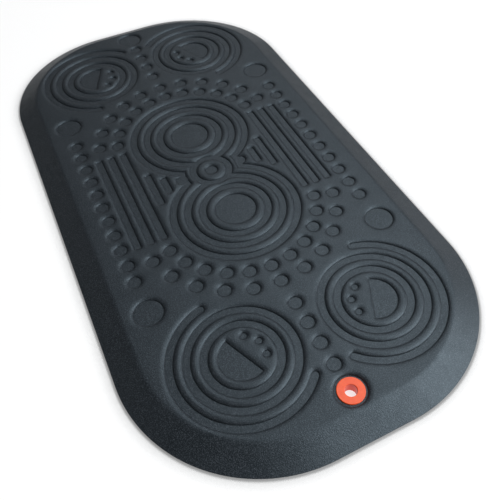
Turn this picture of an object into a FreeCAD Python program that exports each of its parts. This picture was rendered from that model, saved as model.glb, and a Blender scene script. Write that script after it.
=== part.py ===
import FreeCAD, Part
import math
import os

# Anti-fatigue standing mat, in millimetres, +Z up.
# The origin is on the floor under the middle of the mat. +X is across the mat and
# +Y runs along it, away from the end that has the hanging eyelet.

# Overall size: a 20 x 39 inch mat with 8 inch corners.
WIDTH = 510.0
LENGTH = 991.0
CORNER_RADIUS = 203.0
THICKNESS = 19.0

# Bevelled rim: an upright lip at the floor, then a slope up to the flat top.
LIP_HEIGHT = 2.0
BEVEL_WIDTH = 36.0
BEVEL_RISE = THICKNESS - LIP_HEIGHT

# Layers. The dense skin wraps the top and the rim, the soft core lies inside it,
# and the non-slip sheet closes the underside.
SKIN_UNDER_TOP = 5.2
BASE_THICKNESS = 1.5
BASE_INSET = 4.0
CORE_INSET = 9.0
CORE_TOP = THICKNESS - SKIN_UNDER_TOP

# Massage relief: everything in it is pressed into the top by the same depth.
RELIEF_DEPTH = 3.3
GROOVE_HALF_WIDTH = 5.6
DIMPLE_RADIUS = 10.2

# Plain discs near the four corners of the flat top, and the blank disc at the far end.
CORNER_DISC_RADIUS = 21.0
CORNER_DISC_X = 182.5
CORNER_DISC_Y = 216.5

# A straight column of dimples along each long side.
COLUMN_X = 183.5
COLUMN_PITCH = 31.9
COLUMN_STEPS = 5

# Two large ring groups on the centreline, each with two arcs of dimples round its outer end.
GROUP_Y = 97.0
GROUP_DISC_RADIUS = 31.8
GROUP_RING_RADII = (50.6, 73.2, 95.7)
ARC_RADII = (123.7, 153.8)
ARC_PITCH_DEG = 15.0
ARC_STEPS = 5

# A short column of dimples between the corner spirals at each end.
SPINE_START_Y = 292.3
SPINE_PITCH = 34.3
SPINE_COUNT = 4

# The eye at the middle of the mat, between the two groups, and the dimples at its waist.
EYE_RING_RADIUS = 29.5
EYE_LAND_RADIUS = 42.5
WAIST_DIMPLE_X = 51.0

# Straight grooves on each side of the waist: distance from the centreline, half length.
BAR_FIRST_X = 159.4
BAR_PITCH = 20.4
BAR_HALF_LENGTHS = (105.0, 105.0, 105.0, 36.5, 18.5)
BAR_CORNER_RADIUS = 3.0

# Corner spirals: two full rings, an open outer ring, a half disc and three toe dimples.
SPIRAL_X = 97.5
SPIRAL_Y = 334.7
SPIRAL_RING_RADII = (49.5, 71.5)
SPIRAL_ARC_RADIUS = 93.5
SPIRAL_ARC_START_DEG = 103.0
SPIRAL_ARC_SPAN_DEG = 215.0
HALF_DISC_RADIUS = 32.5
HALF_DISC_EDGE_OFFSET = 3.0
HALF_DISC_TILT_DEG = 23.5
TOE_RADIUS = 5.2
TOE_DISTANCE = 30.8
TOE_PITCH_DEG = 40.5

# Hanging eyelet near one end: a flanged barrel from above and a ring pressed on from below.
EYELET_Y = -435.0
EYELET_BORE_RADIUS = 8.0
EYELET_BARREL_RADIUS = 10.0
EYELET_FLANGE_RADIUS = 18.0
EYELET_FLANGE_THICKNESS = 1.8
EYELET_EDGE_ROUND = 0.8
EYELET_END_HEIGHT = 0.3
POCKET_RADIUS = 21.0
POCKET_DEPTH = 4.3
POCKET_FLOOR = THICKNESS - POCKET_DEPTH
BACK_RING_RADIUS = 15.0
FIT_GAP = 0.2

# How far a cutting tool stands out of the face that it cuts.
TOOL_CLEARANCE = 5.0
UP = FreeCAD.Vector(0, 0, 1)


def cylinder(x, y, radius, bottom, top):
    """Upright cylinder between two heights."""
    return Part.makeCylinder(radius, top - bottom, FreeCAD.Vector(x, y, bottom), UP)


def tube(x, y, outer, inner, bottom, top):
    """Upright cylinder with a round hole through it."""
    return cylinder(x, y, outer, bottom, top).cut(cylinder(x, y, inner, bottom, top))


def mat_outline(inset, height):
    """Closed outline of the mat, moved inwards by inset, with concentric corner arcs."""
    half_x = WIDTH / 2 - inset
    half_y = LENGTH / 2 - inset
    radius = CORNER_RADIUS - inset
    diagonal = radius * math.sqrt(0.5)
    edges = []
    previous_end = None
    first_start = None
    for start_deg, sign_x, sign_y in ((0, 1, 1), (90, -1, 1), (180, -1, -1), (270, 1, -1)):
        centre = FreeCAD.Vector(sign_x * (half_x - radius), sign_y * (half_y - radius), height)
        start_dir = FreeCAD.Vector(math.cos(math.radians(start_deg)), math.sin(math.radians(start_deg)), 0)
        end_dir = UP.cross(start_dir)
        start = centre + start_dir * radius
        end = centre + end_dir * radius
        middle = centre + (start_dir + end_dir) * diagonal
        if previous_end is not None:
            edges.append(Part.makeLine(previous_end, start))
        else:
            first_start = start
        edges.append(Part.Arc(start, middle, end).toShape())
        previous_end = end
    edges.append(Part.makeLine(previous_end, first_start))
    return Part.Wire(edges)


def mat_slab(inset, bottom, top):
    """Flat slab with the mat's outline."""
    return Part.Face(mat_outline(inset, bottom)).extrude(FreeCAD.Vector(0, 0, top - bottom))


def mat_frustum(bottom_inset, bottom, top_inset, top):
    """Solid whose sides slope inwards from one outline to a smaller one above it."""
    return Part.makeLoft([mat_outline(bottom_inset, bottom), mat_outline(top_inset, top)], True, True)


# The relief's tools all reach from the bottom of the relief to above the top.
RELIEF_BOTTOM = THICKNESS - RELIEF_DEPTH
RELIEF_TOOL_TOP = THICKNESS + TOOL_CLEARANCE


def dimple_tool(x, y, radius=DIMPLE_RADIUS):
    """Tool for one round recess."""
    return cylinder(x, y, radius, RELIEF_BOTTOM, RELIEF_TOOL_TOP)


def ring_tool(x, y, radius):
    """Tool for one full ring-shaped groove."""
    outer = radius + GROOVE_HALF_WIDTH
    inner = radius - GROOVE_HALF_WIDTH
    return tube(x, y, outer, inner, RELIEF_BOTTOM, RELIEF_TOOL_TOP)


def bar_tool(x, half_length):
    """Tool for one straight groove, centred on the X axis, with rounded corners."""
    height = RELIEF_TOOL_TOP - RELIEF_BOTTOM
    corner = FreeCAD.Vector(x - GROOVE_HALF_WIDTH, -half_length, RELIEF_BOTTOM)
    bar = Part.makeBox(2 * GROOVE_HALF_WIDTH, 2 * half_length, height, corner)
    upright = [edge for edge in bar.Edges if abs(edge.tangentAt(edge.FirstParameter).z) > 0.5]
    return bar.makeFillet(BAR_CORNER_RADIUS, upright)


def open_ring_tool(start_deg, span_deg):
    """Tool for the spiral's outer groove, about the origin, with round ends."""
    outer = SPIRAL_ARC_RADIUS + GROOVE_HALF_WIDTH
    inner = SPIRAL_ARC_RADIUS - GROOVE_HALF_WIDTH
    height = RELIEF_TOOL_TOP - RELIEF_BOTTOM
    base = FreeCAD.Vector(0, 0, RELIEF_BOTTOM)
    sector = Part.makeCylinder(outer, height, base, UP, span_deg)
    sector = sector.cut(Part.makeCylinder(inner, height, base, UP))
    sector.rotate(FreeCAD.Vector(0, 0, 0), UP, start_deg)
    tool = sector
    for end_deg in (start_deg, start_deg + span_deg):
        end_x = SPIRAL_ARC_RADIUS * math.cos(math.radians(end_deg))
        end_y = SPIRAL_ARC_RADIUS * math.sin(math.radians(end_deg))
        tool = tool.fuse(dimple_tool(end_x, end_y, GROOVE_HALF_WIDTH))
    return tool.removeSplitter()


def half_disc_tool():
    """Tool for the half disc, about the origin, cut off by an edge square to the tilt direction."""
    disc = dimple_tool(0, 0, HALF_DISC_RADIUS)
    size = 3 * HALF_DISC_RADIUS
    corner = FreeCAD.Vector(HALF_DISC_EDGE_OFFSET, -size / 2, RELIEF_BOTTOM - TOOL_CLEARANCE)
    block = Part.makeBox(size, size, RELIEF_DEPTH + 3 * TOOL_CLEARANCE, corner)
    half = disc.cut(block)
    half.rotate(FreeCAD.Vector(0, 0, 0), UP, HALF_DISC_TILT_DEG)
    return half


def spiral_tools():
    """Tools of the spiral in the corner with negative X and Y, placed about the origin."""
    tools = [ring_tool(0, 0, radius) for radius in SPIRAL_RING_RADII]
    tools.append(open_ring_tool(SPIRAL_ARC_START_DEG, SPIRAL_ARC_SPAN_DEG))
    tools.append(half_disc_tool())
    for step in (-1, 0, 1):
        angle = math.radians(HALF_DISC_TILT_DEG + step * TOE_PITCH_DEG)
        tools.append(dimple_tool(TOE_DISTANCE * math.cos(angle), TOE_DISTANCE * math.sin(angle), TOE_RADIUS))
    return tools


def corner_spirals():
    """The spiral and its mirror images in the four corners."""
    origin = FreeCAD.Vector(0, 0, 0)
    across = FreeCAD.Vector(1, 0, 0)
    along = FreeCAD.Vector(0, 1, 0)
    tools = []
    for tool in spiral_tools():
        near_left = tool.copy()
        near_left.translate(FreeCAD.Vector(-SPIRAL_X, -SPIRAL_Y, 0))
        near_right = near_left.mirror(origin, across)
        tools += [near_left, near_right, near_left.mirror(origin, along), near_right.mirror(origin, along)]
    return tools


def centre_figure():
    """The two ring groups, the eye between them and the waist dimples, as one joined tool."""
    disc_ring, middle_ring, outer_ring = GROUP_RING_RADII
    eye_land = dimple_tool(0, 0, EYE_LAND_RADIUS)
    eye_heart = dimple_tool(0, 0, EYE_RING_RADIUS)
    waist = [dimple_tool(side * WAIST_DIMPLE_X, 0) for side in (-1, 1)]
    parts = [ring_tool(0, 0, EYE_RING_RADIUS)] + waist
    for side in (-1, 1):
        parts.append(ring_tool(0, side * GROUP_Y, middle_ring).cut(eye_heart))
        parts.append(ring_tool(0, side * GROUP_Y, outer_ring).cut(eye_land))
    joined = parts[0].fuse(parts[1:]).removeSplitter()
    loose = [dimple_tool(0, 0)]
    for side in (-1, 1):
        loose.append(dimple_tool(0, side * GROUP_Y, GROUP_DISC_RADIUS))
        loose.append(ring_tool(0, side * GROUP_Y, disc_ring))
    return [joined] + loose


def dimple_field():
    """Side columns, arcs round the ring groups, end columns and the plain discs."""
    tools = []
    for side in (-1, 1):
        for step in range(-COLUMN_STEPS, COLUMN_STEPS + 1):
            tools.append(dimple_tool(side * COLUMN_X, step * COLUMN_PITCH))
        for end in (-1, 1):
            tools.append(dimple_tool(side * CORNER_DISC_X, end * CORNER_DISC_Y, CORNER_DISC_RADIUS))
    for end in (-1, 1):
        for radius in ARC_RADII:
            for step in range(-ARC_STEPS, ARC_STEPS + 1):
                angle = math.radians(step * ARC_PITCH_DEG)
                tools.append(dimple_tool(radius * math.sin(angle), end * (GROUP_Y + radius * math.cos(angle))))
        for step in range(SPINE_COUNT):
            tools.append(dimple_tool(0, end * (SPINE_START_Y + step * SPINE_PITCH)))
    tools.append(dimple_tool(0, -EYELET_Y, CORNER_DISC_RADIUS))
    return tools


def bar_field():
    """The straight grooves on both sides of the waist."""
    tools = []
    for side in (-1, 1):
        for index, half_length in enumerate(BAR_HALF_LENGTHS):
            tools.append(bar_tool(side * (BAR_FIRST_X - index * BAR_PITCH), half_length))
    return tools


def core_solid():
    """Soft foam core, with sides that follow the bevel."""
    slope = BEVEL_WIDTH / BEVEL_RISE
    top_inset = CORE_INSET + (CORE_TOP - BASE_THICKNESS) * slope
    return mat_frustum(CORE_INSET, BASE_THICKNESS, top_inset, CORE_TOP)


def eyelet_hole(bottom, top):
    """Tool for the round hole that the eyelet's barrel passes through."""
    return cylinder(0, EYELET_Y, EYELET_BARREL_RADIUS + FIT_GAP, bottom, top)


def foam_core():
    """Core with the hole for the eyelet."""
    return core_solid().cut(eyelet_hole(0, THICKNESS))


def top_skin():
    """Skin over the top and the rim: bevelled shell with the relief and the eyelet pocket."""
    lip = mat_slab(0, 0, LIP_HEIGHT)
    slope = mat_frustum(0, LIP_HEIGHT, BEVEL_WIDTH, THICKNESS)
    body = lip.fuse(slope).removeSplitter()
    body = body.cut(mat_slab(BASE_INSET, -TOOL_CLEARANCE, BASE_THICKNESS))
    body = body.cut(core_solid())
    relief = centre_figure() + dimple_field() + bar_field() + corner_spirals()
    body = body.cut(Part.makeCompound(relief))
    pocket = cylinder(0, EYELET_Y, POCKET_RADIUS, POCKET_FLOOR, RELIEF_TOOL_TOP)
    return body.cut(pocket).cut(eyelet_hole(0, THICKNESS))


def base_sheet():
    """Non-slip sheet under the mat, with a round opening for the eyelet's back ring."""
    sheet = mat_slab(BASE_INSET, 0, BASE_THICKNESS)
    return sheet.cut(cylinder(0, EYELET_Y, BACK_RING_RADIUS + FIT_GAP, 0, BASE_THICKNESS))


def circles_at(solid, height):
    """Full circles of a solid's edges at one height."""
    found = []
    for edge in solid.Edges:
        if isinstance(edge.Curve, Part.Circle) and abs(edge.Curve.Center.z - height) < 0.01:
            found.append(edge)
    return found


def eyelet_flange():
    """Flange on the pocket's floor with the barrel through the mat, rounded on its upper edges."""
    flange_top = POCKET_FLOOR + EYELET_FLANGE_THICKNESS
    flange = cylinder(0, EYELET_Y, EYELET_FLANGE_RADIUS, POCKET_FLOOR, flange_top)
    barrel = cylinder(0, EYELET_Y, EYELET_BARREL_RADIUS, EYELET_END_HEIGHT, POCKET_FLOOR)
    solid = flange.fuse(barrel).cut(cylinder(0, EYELET_Y, EYELET_BORE_RADIUS, 0, THICKNESS))
    solid = solid.removeSplitter()
    return solid.makeFillet(EYELET_EDGE_ROUND, circles_at(solid, flange_top))


def eyelet_back_ring():
    """Ring pressed on the barrel's lower end, level with the underside sheet."""
    return tube(0, EYELET_Y, BACK_RING_RADIUS, EYELET_BARREL_RADIUS, EYELET_END_HEIGHT, BASE_THICKNESS)


PARTS = {
    "top_skin": top_skin,
    "foam_core": foam_core,
    "base_sheet": base_sheet,
    "eyelet_flange": eyelet_flange,
    "eyelet_back_ring": eyelet_back_ring,
}

os.makedirs("parts", exist_ok=True)
for node, build in PARTS.items():
    build().exportStep("parts/" + node + ".step")
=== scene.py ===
import math

import bpy
import numpy as np
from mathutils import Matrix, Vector
from mathutils.geometry import delaunay_2d_cdt


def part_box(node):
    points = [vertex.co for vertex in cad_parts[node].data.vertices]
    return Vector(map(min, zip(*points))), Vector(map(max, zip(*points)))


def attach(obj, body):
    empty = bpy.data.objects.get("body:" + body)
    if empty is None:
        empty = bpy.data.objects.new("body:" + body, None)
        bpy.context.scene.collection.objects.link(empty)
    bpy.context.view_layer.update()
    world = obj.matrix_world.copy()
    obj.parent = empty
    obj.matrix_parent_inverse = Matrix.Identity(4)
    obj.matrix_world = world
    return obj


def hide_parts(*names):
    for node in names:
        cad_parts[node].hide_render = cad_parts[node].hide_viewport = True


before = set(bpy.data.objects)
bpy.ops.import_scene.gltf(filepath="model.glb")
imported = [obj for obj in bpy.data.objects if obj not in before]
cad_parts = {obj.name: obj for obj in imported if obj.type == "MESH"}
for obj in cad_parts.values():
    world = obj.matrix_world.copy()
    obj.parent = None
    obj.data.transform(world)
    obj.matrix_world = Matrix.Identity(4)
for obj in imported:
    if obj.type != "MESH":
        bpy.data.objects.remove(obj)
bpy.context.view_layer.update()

# The layout is worked out in millimetres, in the frame of the CAD model, and the
# finished meshes are scaled to metres.
MM = 0.001
SKIN_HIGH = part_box("top_skin")[1]
CORE_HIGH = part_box("foam_core")[1]
SHEET_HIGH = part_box("base_sheet")[1]

# ---------------------------------------------------------------- mat outline and section
HALF_WIDTH = SKIN_HIGH.x / MM
HALF_LENGTH = SKIN_HIGH.y / MM
THICKNESS = SKIN_HIGH.z / MM
CORNER_RADIUS = 203.0
LIP_HEIGHT = 2.0
BEVEL_WIDTH = 36.0
BEVEL_SLOPE = (THICKNESS - LIP_HEIGHT) / BEVEL_WIDTH
CREASE_BLEND = 3.0
RIM_ROUND = 0.6
BASE_INSET = 4.0
CORE_INSET = 9.0
SHEET_TOP = SHEET_HIGH.z / MM
CORE_TOP = CORE_HIGH.z / MM
CORE_TOP_INSET = CORE_INSET + (CORE_TOP - SHEET_TOP) / BEVEL_SLOPE

# ---------------------------------------------------------------- relief
# The floor of every recess is flat. Its wall rises as a quarter ellipse.
RELIEF_DEPTH = 3.3
WALL_WIDTH = 8.0
WALL_STEPS_DEG = (0.0, 14.0, 28.0, 43.0, 58.0, 74.0, 90.0)
WALL_LINKS = ("past", "kept", "kept", "none", "none", "none", "none")
POCKET_EXTRA_DEPTH = 1.0

GROOVE_HALF_WIDTH = 4.8
BAR_HALF_WIDTH = 4.6
DIMPLE_RADIUS = 9.2
CORNER_DISC_RADIUS = 20.5
CORNER_DISC_AT = (182.5, 216.5)
COLUMN_X = 183.5
COLUMN_PITCH = 31.9
COLUMN_STEPS = 5
GROUP_Y = 97.0
GROUP_DISC_RADIUS = 31.0
GROUP_RING_RADII = (50.6, 73.2, 95.7)
ARC_RADII = (123.7, 153.8)
ARC_PITCH_DEG = 15.0
ARC_STEPS = 5
SPINE_START_Y = 292.3
SPINE_PITCH = 34.3
SPINE_COUNT = 4
EYE_RING_RADIUS = 29.5
EYE_LAND_RADIUS = 43.3
WAIST_DIMPLE_X = 51.0
BAR_FIRST_X = 159.4
BAR_PITCH = 20.4
BAR_HALF_LENGTHS = (104.2, 104.2, 104.2, 35.7, 17.7)
BAR_CORNER_RADIUS = 2.5
SPIRAL_AT = (97.5, 334.7)
SPIRAL_RING_RADII = (49.5, 71.5)
SPIRAL_ARC_RADIUS = 93.5
SPIRAL_ARC_START_DEG = 103.0
SPIRAL_ARC_SPAN_DEG = 215.0
HALF_DISC_RADIUS = 31.8
HALF_DISC_EDGE_OFFSET = 2.3
HALF_DISC_TILT_DEG = 23.5
TOE_RADIUS = 4.4
TOE_DISTANCE = 30.8
TOE_PITCH_DEG = 40.5

# ---------------------------------------------------------------- eyelet
EYELET_Y = -435.0
POCKET_RADIUS = 20.5
EYELET_HOLE_RADIUS = 10.2
EYELET_HOLE_SEGMENTS = 48

# Corners of a rounded rectangle, anticlockwise: start angle of the arc, and side in X and Y.
CORNERS = ((0, 1, 1), (90, -1, 1), (180, -1, -1), (270, 1, -1))

# ---------------------------------------------------------------- mesh density
LOOP_SPACING = 2.9
DISC_SPACING = 2.4
CLOSING_GAP = 3 * LOOP_SPACING
STRAIGHT_SPACING = 4.0
OUTLINE_SPACING = 5.0
LAND_SPACING = 15.0
LAND_CLEARANCE = 12.5
ROW_STEP = math.sqrt(0.75)
MIN_CIRCLE_SEGMENTS = 20
BAR_CORNER_POINTS = 6
ROUND_END_POINTS = 9
RIM_SLOPE_INSETS = (0.0, 3.0, 10.0, 19.0, 27.0)
CREASE_STEPS = (-1.0, -0.5, 0.0, 0.5, 1.0)
RIM_CLEARANCE = 0.6
RECESS_MIN_INSET = 4.0

# Tolerances. Points this near to a line or to a recess's foot count as on it, and where two
# walls meet, their rows of points keep the merge gap apart. Points nearer to each other than
# the weld distance become one, and a triangle is dropped if twice its area is under the least.
ON_LINE = 0.02
ON_FOOT = 0.05
MERGE_GAP = 0.7
WELD_DISTANCE = 1e-4
LEAST_DOUBLE_AREA = 1e-7
FAR_AWAY = 1e9
SKIN_SHARP_DEG = 50.0
SHEET_SHARP_DEG = 30.0

# ---------------------------------------------------------------- core and underside
CORE_GAP = 0.15
CORE_EDGE_ROUND = 1.5
# Section of the core's rounded edges: inset, and drop or rise, as shares of the rounding.
CORE_SHOULDER = ((0.6, 0.15), (-0.8, 0.7))
CORE_FOOT = ((0.6, 0.5), (0.2, 0.1), (1.0, 0.0))
SHEET_GAP = 0.15
BACK_OPENING_RADIUS = 15.2
DOT_PITCH = 13.0
DOT_RADIUS = 3.4
DOT_HEIGHT = 0.6
DOT_SEGMENTS = 10
DOT_MARGIN = 7.0

# ---------------------------------------------------------------- colours
SKIN_DARK = (0.0055, 0.0070, 0.0090, 1)
SKIN_LIGHT = (0.0085, 0.0100, 0.0125, 1)
SKIN_FLECK = (0.110, 0.125, 0.145, 1)
SKIN_SHEEN = (0.70, 0.88, 1.0, 1)
EYELET_DEEP = (0.76, 0.074, 0.014, 1)
EYELET_BRIGHT = (0.82, 0.108, 0.024, 1)
SHEET_DARK = (0.012, 0.012, 0.013, 1)
SHEET_LIGHT = (0.021, 0.021, 0.022, 1)
FOAM_DARK = (0.03, 0.03, 0.032, 1)
FOAM_LIGHT = (0.09, 0.09, 0.095, 1)
BLACK = (0.0, 0.0, 0.0, 1)
WHITE = (1.0, 1.0, 1.0, 1)

# ---------------------------------------------------------------- stage, in metres
FLOOR_HALF_SIZE = 8.0
FLOOR_DROP = -0.0002
FLOOR_WHITE = (0.32, 0.32, 0.32, 1)
FLOOR_GLOW = 0.74

# The floor's openness is 1 away from the mat. Beside the mat the floor's colour and glow are darkened
# into a painted contact shadow, down to the shadow's depth, and where it is least open, below the
# eyelet's hole, it is painted bright again.
SHADOW_REACH = 0.022
SHADOW_OPENNESS = 0.87
SHADOW_DEPTH = 0.35
HOLE_OPENNESS = 0.25
UNDER_RIM_OPENNESS = 0.5

WORLD_STRENGTH = 0.115
BACKDROP_BRIGHTNESS = 0.9
LIGHT_COLOUR = (0.965, 0.985, 1.0)

# Soft panels: place, target and size in metres, and power in watts.
PANELS = {
    "right_panel": ((1.5, -1.25, 1.25), (0.0, -0.1, 0.0), (1.9, 1.4), 43.5),
    "overhead_panel": ((0.95, -0.45, 2.0), (0.0, -0.45, 0.0), (4.0, 1.3), 43.0),
    "far_panel": ((1.2, 3.0, 2.0), (0.1, 0.3, 0.0), (2.0, 1.4), 5.8),
}

# Camera: place, lens and sensor in millimetres, and the clip distance in metres.
CAMERA_PLACE = (-212.5, -682.0, 682.8)
CAMERA_TURN_DEG = (39.716, 1.648, -26.312)
CAMERA_LENS = 42.508
CAMERA_SENSOR = 36.0
CAMERA_CLIP_START = 0.01
CAMERA_SHIFT = (-0.036, -0.02)


def arc_points(cx, cy, radius, start_deg, span_deg, count):
    """Points along an arc, both ends included."""
    angles = np.radians(start_deg + span_deg * np.linspace(0.0, 1.0, count))
    return np.stack([cx + radius * np.cos(angles), cy + radius * np.sin(angles)], 1)


def circle_points(cx, cy, radius, count):
    """Closed circle, without repeating its first point."""
    return arc_points(cx, cy, radius, 0.0, 360.0 * (count - 1) / count, count)


def straight_points(start, end, spacing):
    """Points along a straight run, without its end point."""
    start = np.asarray(start, float)
    end = np.asarray(end, float)
    count = max(1, round(float(np.linalg.norm(end - start)) / spacing))
    steps = np.arange(count)[:, None] / count
    return start + (end - start) * steps


def rounded_rectangle(cx, half_x, half_y, radius, corner_count, spacing):
    """Closed outline: quarter arcs about the middles of four corners, and straight runs between."""
    arcs = []
    for start, side_x, side_y in CORNERS:
        arcs.append(arc_points(cx + side_x * half_x, side_y * half_y, radius, start, 90.0, corner_count))
    pieces = []
    for index, arc in enumerate(arcs):
        following = arcs[(index + 1) % len(arcs)]
        pieces.append(arc)
        pieces.append(straight_points(arc[-1], following[0], spacing)[1:])
    return np.concatenate(pieces)


def rounded_distance(x, y, half_x, half_y, radius):
    """Distance to a rounded rectangle about the origin, negative inside it."""
    over_x = np.abs(x) - half_x
    over_y = np.abs(y) - half_y
    outside = np.hypot(np.maximum(over_x, 0.0), np.maximum(over_y, 0.0))
    return outside + np.minimum(np.maximum(over_x, over_y), 0.0) - radius


def segments_for(radius, spacing=LOOP_SPACING):
    """Number of segments of a circle whose chord is about the spacing."""
    return max(MIN_CIRCLE_SEGMENTS, 4 * round(2 * math.pi * radius / spacing / 4))


# Each recess is a pair: its distance function, negative on its floor, and a function that
# gives the closed outlines at some distance out from its foot.
def disc(cx, cy, radius):
    """Round recess."""
    count = segments_for(radius, DISC_SPACING)

    def distance(x, y):
        return np.hypot(x - cx, y - cy) - radius

    def outlines(offset):
        return [circle_points(cx, cy, radius + offset, count)]

    return distance, outlines


def ring(cx, cy, radius):
    """Ring-shaped groove."""
    count = segments_for(radius)

    def distance(x, y):
        return np.abs(np.hypot(x - cx, y - cy) - radius) - GROOVE_HALF_WIDTH

    def outlines(offset):
        reach = GROOVE_HALF_WIDTH + offset
        return [circle_points(cx, cy, radius + side * reach, count) for side in (-1, 1)]

    return distance, outlines


def clipped_ring(cx, cy, radius, clip_radius):
    """Ring-shaped groove that stops at a circle about the middle of the mat."""
    full_distance, full_outlines = ring(cx, cy, radius)
    count = segments_for(clip_radius)

    def distance(x, y):
        return np.maximum(full_distance(x, y), clip_radius - np.hypot(x, y))

    def outlines(offset):
        return full_outlines(offset) + [circle_points(0.0, 0.0, clip_radius - offset, count)]

    return distance, outlines


def bar(cx, half_length):
    """Straight groove along Y with rounded corners."""
    half_x = BAR_HALF_WIDTH - BAR_CORNER_RADIUS
    half_y = half_length - BAR_CORNER_RADIUS

    def distance(x, y):
        return rounded_distance(x - cx, y, half_x, half_y, BAR_CORNER_RADIUS)

    def outlines(offset):
        radius = BAR_CORNER_RADIUS + offset
        return [rounded_rectangle(cx, half_x, half_y, radius, BAR_CORNER_POINTS, STRAIGHT_SPACING)]

    return distance, outlines


def open_ring(radius, start_deg, span_deg):
    """Arc-shaped groove about the origin, with round ends."""
    middle = math.radians(start_deg + span_deg / 2)
    half_span = math.radians(span_deg / 2)
    ends = [(radius * math.cos(math.radians(a)), radius * math.sin(math.radians(a)))
            for a in (start_deg, start_deg + span_deg)]
    count = round(segments_for(radius) * span_deg / 360.0)

    def distance(x, y):
        turn = np.abs((np.arctan2(y, x) - middle + math.pi) % (2 * math.pi) - math.pi)
        along = np.abs(np.hypot(x, y) - radius)
        to_ends = np.minimum(*[np.hypot(x - ex, y - ey) for ex, ey in ends])
        return np.where(turn <= half_span, along, to_ends) - GROOVE_HALF_WIDTH

    def outlines(offset):
        reach = GROOVE_HALF_WIDTH + offset
        outer = arc_points(0, 0, radius + reach, start_deg, span_deg, count)
        inner = arc_points(0, 0, radius - reach, start_deg + span_deg, -span_deg, count)
        far_cap = arc_points(*ends[1], reach, start_deg + span_deg, 180.0, ROUND_END_POINTS)[1:-1]
        near_cap = arc_points(*ends[0], reach, start_deg + 180.0, 180.0, ROUND_END_POINTS)[1:-1]
        return [np.concatenate([outer, far_cap, inner, near_cap])]

    return distance, outlines


def half_disc():
    """Disc about the origin, cut by an edge square to the +X direction."""
    count = segments_for(HALF_DISC_RADIUS)

    def distance(x, y):
        return np.maximum(np.hypot(x, y) - HALF_DISC_RADIUS, x - HALF_DISC_EDGE_OFFSET)

    def outlines(offset):
        x = HALF_DISC_EDGE_OFFSET + offset
        reach = HALF_DISC_RADIUS + WALL_WIDTH
        edge = straight_points((x, -reach), (x, reach), LOOP_SPACING)
        return [circle_points(0, 0, HALF_DISC_RADIUS + offset, count), edge]

    return distance, outlines


def turned(shape, angle_deg):
    """The shape turned about the origin."""
    base_distance, base_outlines = shape
    c = math.cos(math.radians(angle_deg))
    s = math.sin(math.radians(angle_deg))

    def distance(x, y):
        return base_distance(c * x + s * y, c * y - s * x)

    def outlines(offset):
        turn = np.array([[c, s], [-s, c]])
        return [line @ turn for line in base_outlines(offset)]

    return distance, outlines


def placed(shape, x_shift, y_shift, x_sign, y_sign):
    """The shape moved, and then mirrored where a sign is negative."""
    base_distance, base_outlines = shape

    def distance(x, y):
        return base_distance(x * x_sign - x_shift, y * y_sign - y_shift)

    def outlines(offset):
        return [(line + (x_shift, y_shift)) * (x_sign, y_sign) for line in base_outlines(offset)]

    return distance, outlines


def centre_figure():
    """Two ring groups, the eye between them and the dimples at the waist."""
    shapes = [disc(0, 0, DIMPLE_RADIUS), ring(0, 0, EYE_RING_RADIUS)]
    for side in (-1, 1):
        shapes.append(disc(side * WAIST_DIMPLE_X, 0, DIMPLE_RADIUS))
        shapes.append(disc(0, side * GROUP_Y, GROUP_DISC_RADIUS))
        shapes.append(ring(0, side * GROUP_Y, GROUP_RING_RADII[0]))
        shapes.append(clipped_ring(0, side * GROUP_Y, GROUP_RING_RADII[1], EYE_RING_RADIUS))
        shapes.append(clipped_ring(0, side * GROUP_Y, GROUP_RING_RADII[2], EYE_LAND_RADIUS))
    return shapes


def dimple_field():
    """Side columns, arcs round the ring groups, end columns and the plain discs."""
    shapes = []
    for side in (-1, 1):
        for step in range(-COLUMN_STEPS, COLUMN_STEPS + 1):
            shapes.append(disc(side * COLUMN_X, step * COLUMN_PITCH, DIMPLE_RADIUS))
        for end in (-1, 1):
            shapes.append(disc(side * CORNER_DISC_AT[0], end * CORNER_DISC_AT[1], CORNER_DISC_RADIUS))
    for end in (-1, 1):
        for radius in ARC_RADII:
            for step in range(-ARC_STEPS, ARC_STEPS + 1):
                angle = math.radians(step * ARC_PITCH_DEG)
                x = radius * math.sin(angle)
                y = end * (GROUP_Y + radius * math.cos(angle))
                shapes.append(disc(x, y, DIMPLE_RADIUS))
        for step in range(SPINE_COUNT):
            shapes.append(disc(0, end * (SPINE_START_Y + step * SPINE_PITCH), DIMPLE_RADIUS))
    shapes.append(disc(0, -EYELET_Y, POCKET_RADIUS))
    return shapes


def bar_field():
    """The straight grooves on both sides of the waist."""
    shapes = []
    for side in (-1, 1):
        for index, half_length in enumerate(BAR_HALF_LENGTHS):
            shapes.append(bar(side * (BAR_FIRST_X - index * BAR_PITCH), half_length))
    return shapes


def corner_spirals():
    """The spiral in each corner: rings, open ring, half disc and toes."""
    own = [ring(0, 0, radius) for radius in SPIRAL_RING_RADII]
    own.append(open_ring(SPIRAL_ARC_RADIUS, SPIRAL_ARC_START_DEG, SPIRAL_ARC_SPAN_DEG))
    own.append(turned(half_disc(), HALF_DISC_TILT_DEG))
    for step in (-1, 0, 1):
        angle = math.radians(HALF_DISC_TILT_DEG + step * TOE_PITCH_DEG)
        own.append(disc(TOE_DISTANCE * math.cos(angle), TOE_DISTANCE * math.sin(angle), TOE_RADIUS))
    shapes = []
    for x_sign in (1, -1):
        for y_sign in (1, -1):
            for shape in own:
                shapes.append(placed(shape, -SPIRAL_AT[0], -SPIRAL_AT[1], x_sign, y_sign))
    return shapes


def inset_distance(x, y):
    """How far a point lies inside the mat's outline."""
    half_x = HALF_WIDTH - CORNER_RADIUS
    half_y = HALF_LENGTH - CORNER_RADIUS
    return -rounded_distance(x, y, half_x, half_y, CORNER_RADIUS)


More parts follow.
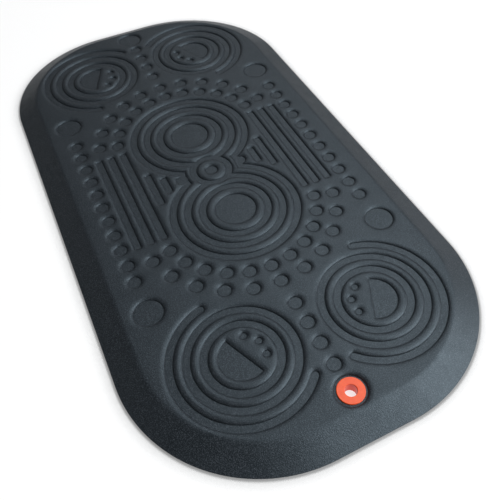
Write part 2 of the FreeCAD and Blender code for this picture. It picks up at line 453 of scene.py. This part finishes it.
def outline_points(inset):
    """Closed outline of the mat, moved inwards, always with the same number of points."""
    half_x = HALF_WIDTH - CORNER_RADIUS
    half_y = HALF_LENGTH - CORNER_RADIUS
    corner_count = round(math.pi / 2 * CORNER_RADIUS / OUTLINE_SPACING) + 1
    return rounded_rectangle(0.0, half_x, half_y, CORNER_RADIUS - inset, corner_count, OUTLINE_SPACING)


def wall_profile(distance):
    """0 on a recess's floor, 1 on the land round it, along a quarter ellipse between them."""
    run = 1.0 - np.clip(distance, 0.0, WALL_WIDTH) / WALL_WIDTH
    rise = np.sqrt(np.clip(1.0 - run * run, 0.0, 1.0))
    return np.where(distance < ON_FOOT, 0.0, rise)


def plain_height(inset):
    """Height of the mat without its relief: the slope of the rim, blended into the flat top."""
    past = inset - BEVEL_WIDTH
    slope = THICKNESS + BEVEL_SLOPE * np.minimum(past, 0.0)
    blend = (CREASE_BLEND - past).clip(0.0, 2 * CREASE_BLEND) ** 2 / (4 * CREASE_BLEND)
    near = np.abs(past) < CREASE_BLEND
    return np.where(near, THICKNESS - BEVEL_SLOPE * blend, slope)


RECESSES = centre_figure() + dimple_field() + bar_field() + corner_spirals()
POCKET = disc(0, EYELET_Y, POCKET_RADIUS)
RECESSES.append(POCKET)


def nearest_recess(x, y):
    """Distance to the nearest recess's foot."""
    nearest = np.full(np.shape(x), FAR_AWAY)
    for distance, _ in RECESSES:
        nearest = np.minimum(nearest, distance(x, y))
    return nearest


def skin_height(x, y):
    """Height of the finished top. Neighbouring walls multiply, so that ridges are round."""
    land = np.ones(np.shape(x))
    for distance, _ in RECESSES:
        land *= wall_profile(distance(x, y))
    pocket = wall_profile(POCKET[0](x, y))
    relief = RELIEF_DEPTH * (1 - land) + POCKET_EXTRA_DEPTH * (1 - pocket)
    return plain_height(inset_distance(x, y)) - relief


class PlanMesh:
    """Points and fixed edges of a flat mesh seen from above, in millimetres."""

    def __init__(self):
        self.points = []
        self.edges = []
        self.count = 0

    def add_line(self, points, keep, closed=True, link="none"):
        """Adds the kept points. Link "kept" joins neighbours that are both kept, and "past" also runs
        the line on to the next point past its kept part, so that it crosses the line that ends it."""
        following = np.roll(keep, -1)
        if link == "none":
            joined = np.zeros(len(points), bool)
        elif link == "kept":
            joined = keep & following
        else:
            joined = keep | following
        if not closed:
            joined[-1] = False
        used = keep | joined | np.roll(joined, 1)
        index = np.cumsum(used) - 1 + self.count
        starts = np.nonzero(joined)[0]
        ends = (starts + 1) % len(points)
        self.points.append(points[used])
        self.edges.append(np.stack([index[starts], index[ends]], 1))
        self.count += int(used.sum())

    def add_outline(self, points):
        """Adds a whole closed line, with fixed edges all the way round."""
        self.add_line(points, np.ones(len(points), bool), link="kept")

    def triangulate(self):
        """Triangulated points and their triangles, which all face up."""
        points = np.concatenate(self.points)
        edges = np.concatenate(self.edges)
        coords = [Vector(p) for p in points.tolist()]
        result = delaunay_2d_cdt(coords, edges.tolist(), [], 0, WELD_DISTANCE, False)
        vertices = np.array([tuple(v) for v in result[0]])
        triangles = np.array(result[2])
        a, b, c = vertices[triangles].transpose(1, 2, 0)
        double_area = (b[0] - a[0]) * (c[1] - a[1]) - (b[1] - a[1]) * (c[0] - a[0])
        facing_down = double_area < 0
        triangles[facing_down] = triangles[facing_down][:, ::-1]
        return vertices, triangles[np.abs(double_area) > LEAST_DOUBLE_AREA]


def add_recess_rows(plan):
    """Rows of points along the walls of every recess, each where that recess is the nearest."""
    offsets = [WALL_WIDTH * (1 - math.cos(math.radians(a))) for a in WALL_STEPS_DEG]
    rows = []
    for owner, (_, outlines) in enumerate(RECESSES):
        for level, offset in enumerate(offsets):
            for line in outlines(offset):
                rows.append((owner, level, offset, line))
    sizes = [len(row[3]) for row in rows]
    points = np.concatenate([row[3] for row in rows])
    owner = np.repeat([row[0] for row in rows], sizes)
    offset = np.repeat([row[2] for row in rows], sizes)
    x, y = points.T
    own = np.zeros(len(points))
    before = np.full(len(points), FAR_AWAY)
    after = np.full(len(points), FAR_AWAY)
    for index, (distance, _) in enumerate(RECESSES):
        value = distance(x, y)
        own = np.where(owner == index, value, own)
        before = np.where(owner > index, np.minimum(before, value), before)
        after = np.where(owner < index, np.minimum(after, value), after)
    on_line = np.abs(own - offset) < ON_LINE
    gap = np.where(offset > 0.0, MERGE_GAP, 0.0)
    inside = inset_distance(x, y) > RECESS_MIN_INSET
    keep = on_line & (before > offset + gap) & (after > offset) & inside
    start = 0
    for (_, level, _, line), size in zip(rows, sizes):
        part = keep[start:start + size]
        start += size
        if part.any():
            closed = np.linalg.norm(line[0] - line[-1]) < CLOSING_GAP
            plan.add_line(line, part, closed, WALL_LINKS[level])


def add_rim_rows(plan):
    """Outlines of the mat along the rim's slope and round the crease at its top."""
    crease = [BEVEL_WIDTH + CREASE_BLEND * step for step in CREASE_STEPS]
    for inset in (*RIM_SLOPE_INSETS, *crease):
        line = outline_points(inset)
        free = nearest_recess(*line.T) > RIM_CLEARANCE
        plan.add_line(line, free, link="kept" if inset == 0.0 else "none")


def add_land_points(plan):
    """Sparse points on the plain land between the recesses."""
    rows = np.arange(-HALF_LENGTH, HALF_LENGTH, LAND_SPACING * ROW_STEP)
    for number, y in enumerate(rows):
        x = np.arange(-HALF_WIDTH, HALF_WIDTH, LAND_SPACING) + LAND_SPACING / 2 * (number % 2)
        points = np.stack([x, np.full_like(x, y)], 1)
        clear = nearest_recess(*points.T) > LAND_CLEARANCE
        flat = inset_distance(*points.T) > BEVEL_WIDTH + LAND_SPACING / 2
        plan.add_line(points, clear & flat)


def covers_hole(vertices, triangles, radius):
    """Which triangles lie inside the round hole about the eyelet's axis."""
    reach = np.hypot(vertices[:, 0], vertices[:, 1] - EYELET_Y)
    return (reach[triangles] < radius + ON_LINE).all(1)


def match_row(vertices, line):
    """Numbers of the vertices that lie on the points of a line, in its order."""
    numbers = []
    for point in line:
        gap = np.abs(vertices[:, :2] - point).sum(1)
        numbers.append(int(gap.argmin()))
    return np.array(numbers)


def mesh_object(name, vertices, faces):
    """New object from vertices in millimetres and a list of faces."""
    mesh = bpy.data.meshes.new(name)
    mesh.from_pydata((np.asarray(vertices) * MM).tolist(), [], faces)
    mesh.update()
    item = bpy.data.objects.new(name, mesh)
    bpy.context.scene.collection.objects.link(item)
    return item


def ring_quads(upper, lower):
    """Quads between two closed rows, given as arrays of vertex numbers."""
    return np.stack([upper, lower, np.roll(lower, -1), np.roll(upper, -1)], 1).tolist()


class ShellMesh:
    """Vertices and faces of a closed piece, in millimetres, put together row by row."""

    def __init__(self):
        self.vertices = []
        self.faces = []
        self.count = 0

    def add_vertices(self, flat, height):
        """Adds vertices over plan points and returns their numbers."""
        numbers = np.arange(self.count, self.count + len(flat))
        self.vertices.append(np.column_stack([flat, np.broadcast_to(height, len(flat))]))
        self.count += len(flat)
        return numbers

    def add_section(self, row, section):
        """Carries a row on through (inset, height) steps of the mat's outline; returns the last row."""
        for inset, height in section:
            following = self.add_vertices(outline_points(inset), height)
            self.faces += ring_quads(row, following)
            row = following
        return row

    def add_flat_cap(self, row, inset, height, hole_radius, facing_up):
        """Closes a row with a flat face round the eyelet's hole; returns the hole's row."""
        hole = circle_points(0, EYELET_Y, hole_radius, EYELET_HOLE_SEGMENTS)
        edge = outline_points(inset)
        plan = PlanMesh()
        plan.add_outline(edge)
        plan.add_outline(hole)
        flat, triangles = plan.triangulate()
        triangles = triangles[~covers_hole(flat, triangles, hole_radius)]
        hole_row = self.add_vertices(hole, height)
        number = np.full(len(flat), -1)
        number[match_row(flat, edge)] = row
        number[match_row(flat, hole)] = hole_row
        order = slice(None) if facing_up else slice(None, None, -1)
        self.faces += number[triangles][:, order].tolist()
        return hole_row

    def make(self, name):
        """The finished object."""
        return mesh_object(name, np.concatenate(self.vertices), self.faces)


def build_skin():
    """Closed skin: relief top, rim, turned-in underside and the hollow for the core."""
    plan = PlanMesh()
    add_recess_rows(plan)
    add_rim_rows(plan)
    add_land_points(plan)
    hole = circle_points(0, EYELET_Y, EYELET_HOLE_RADIUS, EYELET_HOLE_SEGMENTS)
    plan.add_outline(hole)
    flat, triangles = plan.triangulate()
    triangles = triangles[~covers_hole(flat, triangles, EYELET_HOLE_RADIUS)]
    on_floor = (nearest_recess(*flat.T)[triangles] < ON_FOOT).all(1)

    shell = ShellMesh()
    shell.add_vertices(flat, skin_height(*flat.T))
    shell.faces += triangles.tolist()
    rim = match_row(flat, outline_points(0.0))
    section = [(0.0, RIM_ROUND), (RIM_ROUND, 0.0), (BASE_INSET, 0.0), (BASE_INSET, SHEET_TOP),
               (CORE_INSET, SHEET_TOP), (CORE_TOP_INSET, CORE_TOP)]
    ceiling = shell.add_section(rim, section)
    lower_hole = shell.add_flat_cap(ceiling, CORE_TOP_INSET, CORE_TOP, EYELET_HOLE_RADIUS, False)
    shell.faces += ring_quads(lower_hole, match_row(flat, hole))
    skin = shell.make("mat_skin")
    mark_floor_edges(skin.data, on_floor)
    return skin


def mark_floor_edges(mesh, on_floor):
    """Smooth shading, with a sharp edge at the foot of every wall and round the underside."""
    mesh.shade_smooth()
    mesh.set_sharp_from_angle(angle=math.radians(SKIN_SHARP_DEG))
    edge_of_loop = np.empty(len(mesh.loops), int)
    mesh.loops.foreach_get("edge_index", edge_of_loop)
    top_loops = edge_of_loop[:3 * len(on_floor)].reshape(-1, 3)
    floor_faces = np.zeros(len(mesh.edges), int)
    np.add.at(floor_faces, top_loops[on_floor].ravel(), 1)
    top_faces = np.zeros(len(mesh.edges), int)
    np.add.at(top_faces, top_loops.ravel(), 1)
    sharp = np.empty(len(mesh.edges), bool)
    mesh.edges.foreach_get("use_edge_sharp", sharp)
    sharp[top_faces == 2] = False
    sharp |= floor_faces == 1
    mesh.edges.foreach_set("use_edge_sharp", sharp)


def build_core():
    """Foam core that fills the hollow of the skin, with softly rounded upper and lower edges."""
    gap = CORE_GAP
    rounding = CORE_EDGE_ROUND
    low = SHEET_TOP + gap
    high = CORE_TOP - gap
    low_inset = CORE_INSET + 2 * gap
    high_inset = CORE_TOP_INSET + 2 * gap
    top_inset = high_inset + 2 * rounding
    shell = ShellMesh()
    top = shell.add_vertices(outline_points(top_inset), high)
    upper_hole = shell.add_flat_cap(top, top_inset, high, EYELET_HOLE_RADIUS, True)
    section = [(high_inset + inset * rounding, high - drop * rounding) for inset, drop in CORE_SHOULDER]
    section += [(low_inset + inset * rounding, low + rise * rounding) for inset, rise in CORE_FOOT]
    bottom = shell.add_section(top, section)
    lower_hole = shell.add_flat_cap(bottom, low_inset + rounding, low, EYELET_HOLE_RADIUS, False)
    shell.faces += ring_quads(lower_hole, upper_hole)
    core = shell.make("foam_core_pad")
    core.data.shade_smooth()
    core.data.set_sharp_from_angle(angle=math.radians(SKIN_SHARP_DEG))
    return core


def grip_dots():
    """Middles of the grip dots under the mat, in staggered rows."""
    rows = []
    half_rows = int(HALF_LENGTH / (DOT_PITCH * ROW_STEP))
    half_columns = int(HALF_WIDTH / DOT_PITCH) + 1
    for number in range(-half_rows, half_rows + 1):
        x = DOT_PITCH * (np.arange(-half_columns, half_columns + 1) + (number % 2) / 2)
        rows.append(np.stack([x, np.full_like(x, number * DOT_PITCH * ROW_STEP)], 1))
    dots = np.concatenate(rows)
    inside = inset_distance(*dots.T) > BASE_INSET + DOT_MARGIN
    clear = np.hypot(dots[:, 0], dots[:, 1] - EYELET_Y) > BACK_OPENING_RADIUS + DOT_MARGIN
    return dots[inside & clear]


def build_sheet():
    """Non-slip sheet with raised round dots on its underside and the opening for the back ring."""
    plan = PlanMesh()
    inset = BASE_INSET + SHEET_GAP
    edge = outline_points(inset)
    hole = circle_points(0, EYELET_Y, BACK_OPENING_RADIUS, EYELET_HOLE_SEGMENTS)
    plan.add_outline(edge)
    plan.add_outline(hole)
    dots = grip_dots()
    for radius in (DOT_RADIUS, DOT_RADIUS - DOT_HEIGHT):
        circle = circle_points(0, 0, radius, DOT_SEGMENTS)
        for middle in dots:
            plan.add_line(circle + middle, np.ones(DOT_SEGMENTS, bool))
    flat, triangles = plan.triangulate()
    triangles = triangles[~covers_hole(flat, triangles, BACK_OPENING_RADIUS)]
    on_dot = np.zeros(len(flat), bool)
    first_inner = len(edge) + len(hole) + len(dots) * DOT_SEGMENTS
    on_dot[first_inner:] = True

    shell = ShellMesh()
    shell.add_vertices(flat, np.where(on_dot, 0.0, DOT_HEIGHT))
    shell.faces += triangles[:, ::-1].tolist()
    rim = np.arange(len(edge))
    lower_hole = len(edge) + np.arange(len(hole))
    top = shell.add_vertices(edge, SHEET_TOP)
    shell.faces += ring_quads(top, rim)
    upper_hole = shell.add_flat_cap(top, inset, SHEET_TOP, BACK_OPENING_RADIUS, True)
    shell.faces += ring_quads(lower_hole, upper_hole)
    sheet = shell.make("grip_sheet")
    sheet.data.shade_smooth()
    sheet.data.set_sharp_from_angle(angle=math.radians(SHEET_SHARP_DEG))
    return sheet


# ---------------------------------------------------------------- materials
# Texture scales are in cycles per metre, and bump distances are in metres.
NOISE_LOW = 0.3
NOISE_HIGH = 0.7


class Nodes:
    """Short-hand for building a node material."""

    def __init__(self, name):
        self.material = bpy.data.materials.new(name)
        self.material.use_nodes = True
        self.tree = self.material.node_tree
        self.shader = self.tree.nodes["Principled BSDF"]

    def add(self, kind, inputs=None, **settings):
        """New node with its settings, and its input values or links."""
        node = self.tree.nodes.new(kind)
        for key, value in settings.items():
            setattr(node, key, value)
        for key, value in (inputs or {}).items():
            self.set(node.inputs[key], value)
        return node

    def set(self, socket, value):
        """Gives a socket a value, or links it to another socket."""
        if isinstance(value, bpy.types.NodeSocket):
            self.tree.links.new(value, socket)
        else:
            socket.default_value = value

    def position(self):
        """Position in the object's own space, in metres."""
        return self.add("ShaderNodeTexCoord").outputs["Object"]

    def noise(self, scale, detail):
        """Noise in object space; detail is the number of finer octaves."""
        inputs = {"Vector": self.position(), "Scale": scale, "Detail": detail}
        return self.add("ShaderNodeTexNoise", inputs).outputs["Fac"]

    def cells(self, scale):
        """Distance field of a soft cell pattern in object space."""
        inputs = {"Vector": self.position(), "Scale": scale}
        return self.add("ShaderNodeTexVoronoi", inputs, feature="SMOOTH_F1").outputs["Distance"]

    def fit(self, value, low, high, to_low, to_high):
        """Value moved from one range to another, and held there."""
        inputs = {"Value": value, "From Min": low, "From Max": high, "To Min": to_low, "To Max": to_high}
        return self.add("ShaderNodeMapRange", inputs).outputs["Result"]

    def vary(self, scale, detail, to_low, to_high):
        """Noise spread over the range from one value to another."""
        return self.fit(self.noise(scale, detail), NOISE_LOW, NOISE_HIGH, to_low, to_high)

    def mix(self, factor, first, second):
        """Colour between two colours."""
        node = self.add("ShaderNodeMix", data_type="RGBA")
        self.set(node.inputs["Factor"], factor)
        self.set(node.inputs["A"], first)
        self.set(node.inputs["B"], second)
        return node.outputs["Result"]

    def bump(self, height, strength, distance, under=None):
        """Bump from a height field, on top of another bump if one is given."""
        inputs = {"Height": height, "Strength": strength, "Distance": distance}
        if under is not None:
            inputs["Normal"] = under
        return self.add("ShaderNodeBump", inputs).outputs["Normal"]

    def give(self, **inputs):
        """Sets inputs of the surface shader; underscores stand for blanks."""
        for key, value in inputs.items():
            self.set(self.shader.inputs[key.replace("_", " ")], value)


def skin_material():
    """Charcoal moulded polyurethane with a fine pebble grain and pale flecks."""
    n = Nodes("moulded_skin")
    base = n.mix(n.vary(scale=9.0, detail=3.0, to_low=0.0, to_high=1.0), SKIN_DARK, SKIN_LIGHT)
    flecks = n.fit(n.noise(scale=850.0, detail=2.0), low=0.48, high=0.75, to_low=0.0, to_high=0.55)
    pebbles = n.bump(n.cells(scale=800.0), strength=0.8, distance=0.00025)
    grain = n.bump(n.noise(scale=2200.0, detail=3.0), strength=0.5, distance=0.0001, under=pebbles)
    satin = n.vary(scale=45.0, detail=4.0, to_low=0.43, to_high=0.51)
    n.give(Base_Color=n.mix(flecks, base, SKIN_FLECK), Roughness=satin, Normal=grain)
    n.give(Specular_IOR_Level=0.6, Specular_Tint=SKIN_SHEEN)
    return n.material


def sheet_material():
    """Black non-slip rubber with a fine matt texture."""
    n = Nodes("grip_rubber")
    base = n.mix(n.vary(scale=14.0, detail=3.0, to_low=0.0, to_high=1.0), SHEET_DARK, SHEET_LIGHT)
    matt = n.vary(scale=60.0, detail=3.0, to_low=0.7, to_high=0.85)
    grain = n.bump(n.noise(scale=1300.0, detail=3.0), strength=0.4, distance=0.0002)
    n.give(Base_Color=base, Roughness=matt, Normal=grain)
    return n.material


def foam_material():
    """Dark grey foam with visible cells."""
    n = Nodes("core_foam")
    cells = n.cells(scale=650.0)
    base = n.mix(n.fit(cells, low=0.1, high=0.6, to_low=0.0, to_high=1.0), FOAM_LIGHT, FOAM_DARK)
    n.give(Base_Color=base, Roughness=0.95, Normal=n.bump(cells, strength=0.8, distance=0.0006))
    return n.material


def eyelet_material():
    """Orange-red moulded plastic, satin, with faint clouding and a fine mould texture."""
    n = Nodes("eyelet_plastic")
    base = n.mix(n.vary(scale=160.0, detail=4.0, to_low=0.0, to_high=1.0), EYELET_DEEP, EYELET_BRIGHT)
    satin = n.vary(scale=300.0, detail=3.0, to_low=0.3, to_high=0.42)
    grain = n.bump(n.noise(scale=1100.0, detail=2.0), strength=0.2, distance=0.0001)
    n.give(Base_Color=base, Roughness=satin, Normal=grain)
    n.give(Subsurface_Weight=0.15, Subsurface_Scale=0.002, Subsurface_Radius=(1.0, 0.3, 0.15))
    return n.material


def floor_material():
    """Plain white glowing studio floor: a painted soft contact shadow beside the mat, and painted light
    below the eyelet's hole.
    """
    n = Nodes("studio_floor")
    openness = n.add("ShaderNodeAmbientOcclusion", {"Distance": SHADOW_REACH}).outputs["AO"]
    # Painted shade: ambient occlusion darkens the floor's colour and glow beside the mat into a contact
    # shadow.
    painted_contact_shadow = n.fit(openness, SHADOW_OPENNESS, 1.0, SHADOW_DEPTH, 1.0)
    # Painted light: where the floor is least open, below the eyelet's hole, its colour and glow are made
    # fully bright again.
    painted_light_below_hole = n.fit(openness, HOLE_OPENNESS, UNDER_RIM_OPENNESS, 1.0, 0.0)
    shade = n.add("ShaderNodeMath", {0: painted_contact_shadow, 1: painted_light_below_hole}, operation="MAXIMUM").outputs["Value"]
    n.give(Base_Color=n.mix(shade, BLACK, FLOOR_WHITE), Roughness=0.9, Specular_IOR_Level=0.1)
    n.give(Emission_Color=WHITE, Emission_Strength=n.fit(shade, 0.0, 1.0, 0.0, FLOOR_GLOW))
    return n.material


def paint(item, material):
    """Gives an object one material."""
    item.data.materials.clear()
    item.data.materials.append(material)


# ---------------------------------------------------------------- stage
def add_floor():
    """Large floor plane just under the mat."""
    mesh = bpy.data.meshes.new("floor")
    r = FLOOR_HALF_SIZE
    corners = [(x, y, FLOOR_DROP) for x, y in ((-r, -r), (r, -r), (r, r), (-r, r))]
    mesh.from_pydata(corners, [], [(0, 1, 2, 3)])
    item = bpy.data.objects.new("floor", mesh)
    bpy.context.scene.collection.objects.link(item)
    paint(item, floor_material())


def aim(item, target):
    """Points an object's -Z axis at a place."""
    item.rotation_euler = (Vector(target) - item.location).to_track_quat("-Z", "Y").to_euler()


def add_softbox(name, place, target, size, power):
    """Rectangular soft light."""
    light = bpy.data.lights.new(name, "AREA")
    light.shape = "RECTANGLE"
    light.size, light.size_y = size
    light.energy = power
    light.color = LIGHT_COLOUR
    item = bpy.data.objects.new(name, light)
    item.location = place
    aim(item, target)
    bpy.context.scene.collection.objects.link(item)


def add_world():
    """Even surroundings: a pale backdrop that lights the mat only a little."""
    world = bpy.data.worlds.new("studio")
    world.use_nodes = True
    tree = world.node_tree
    background = tree.nodes["Background"]
    background.inputs["Color"].default_value = WHITE
    strength = tree.nodes.new("ShaderNodeMapRange")
    strength.inputs["To Min"].default_value = WORLD_STRENGTH
    strength.inputs["To Max"].default_value = BACKDROP_BRIGHTNESS
    seen = tree.nodes.new("ShaderNodeLightPath").outputs["Is Camera Ray"]
    tree.links.new(seen, strength.inputs["Value"])
    tree.links.new(strength.outputs["Result"], background.inputs["Strength"])
    bpy.context.scene.world = world


def add_camera():
    """Camera at the near left end, looking down along the mat."""
    data = bpy.data.cameras.new("camera")
    data.lens = CAMERA_LENS
    data.sensor_width = CAMERA_SENSOR
    data.shift_x, data.shift_y = CAMERA_SHIFT
    data.clip_start = CAMERA_CLIP_START
    item = bpy.data.objects.new("camera", data)
    item.location = [value * MM for value in CAMERA_PLACE]
    item.rotation_euler = [math.radians(value) for value in CAMERA_TURN_DEG]
    bpy.context.scene.collection.objects.link(item)
    bpy.context.scene.camera = item


add_camera()
add_floor()
add_world()
for panel, settings in PANELS.items():
    add_softbox(panel, *settings)
bpy.context.scene.view_settings.view_transform = "Standard"

skin = build_skin()
core = build_core()
sheet = build_sheet()
paint(skin, skin_material())
paint(core, foam_material())
paint(sheet, sheet_material())
STAND_INS = (
    (skin, "top_skin", "skin"),
    (core, "foam_core", "foam"),
    (sheet, "base_sheet", "base"),
)
for piece, node, slot in STAND_INS:
    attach(piece, "root")
    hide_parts(node)
for node in ("eyelet_flange", "eyelet_back_ring"):
    paint(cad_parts[node], eyelet_material())
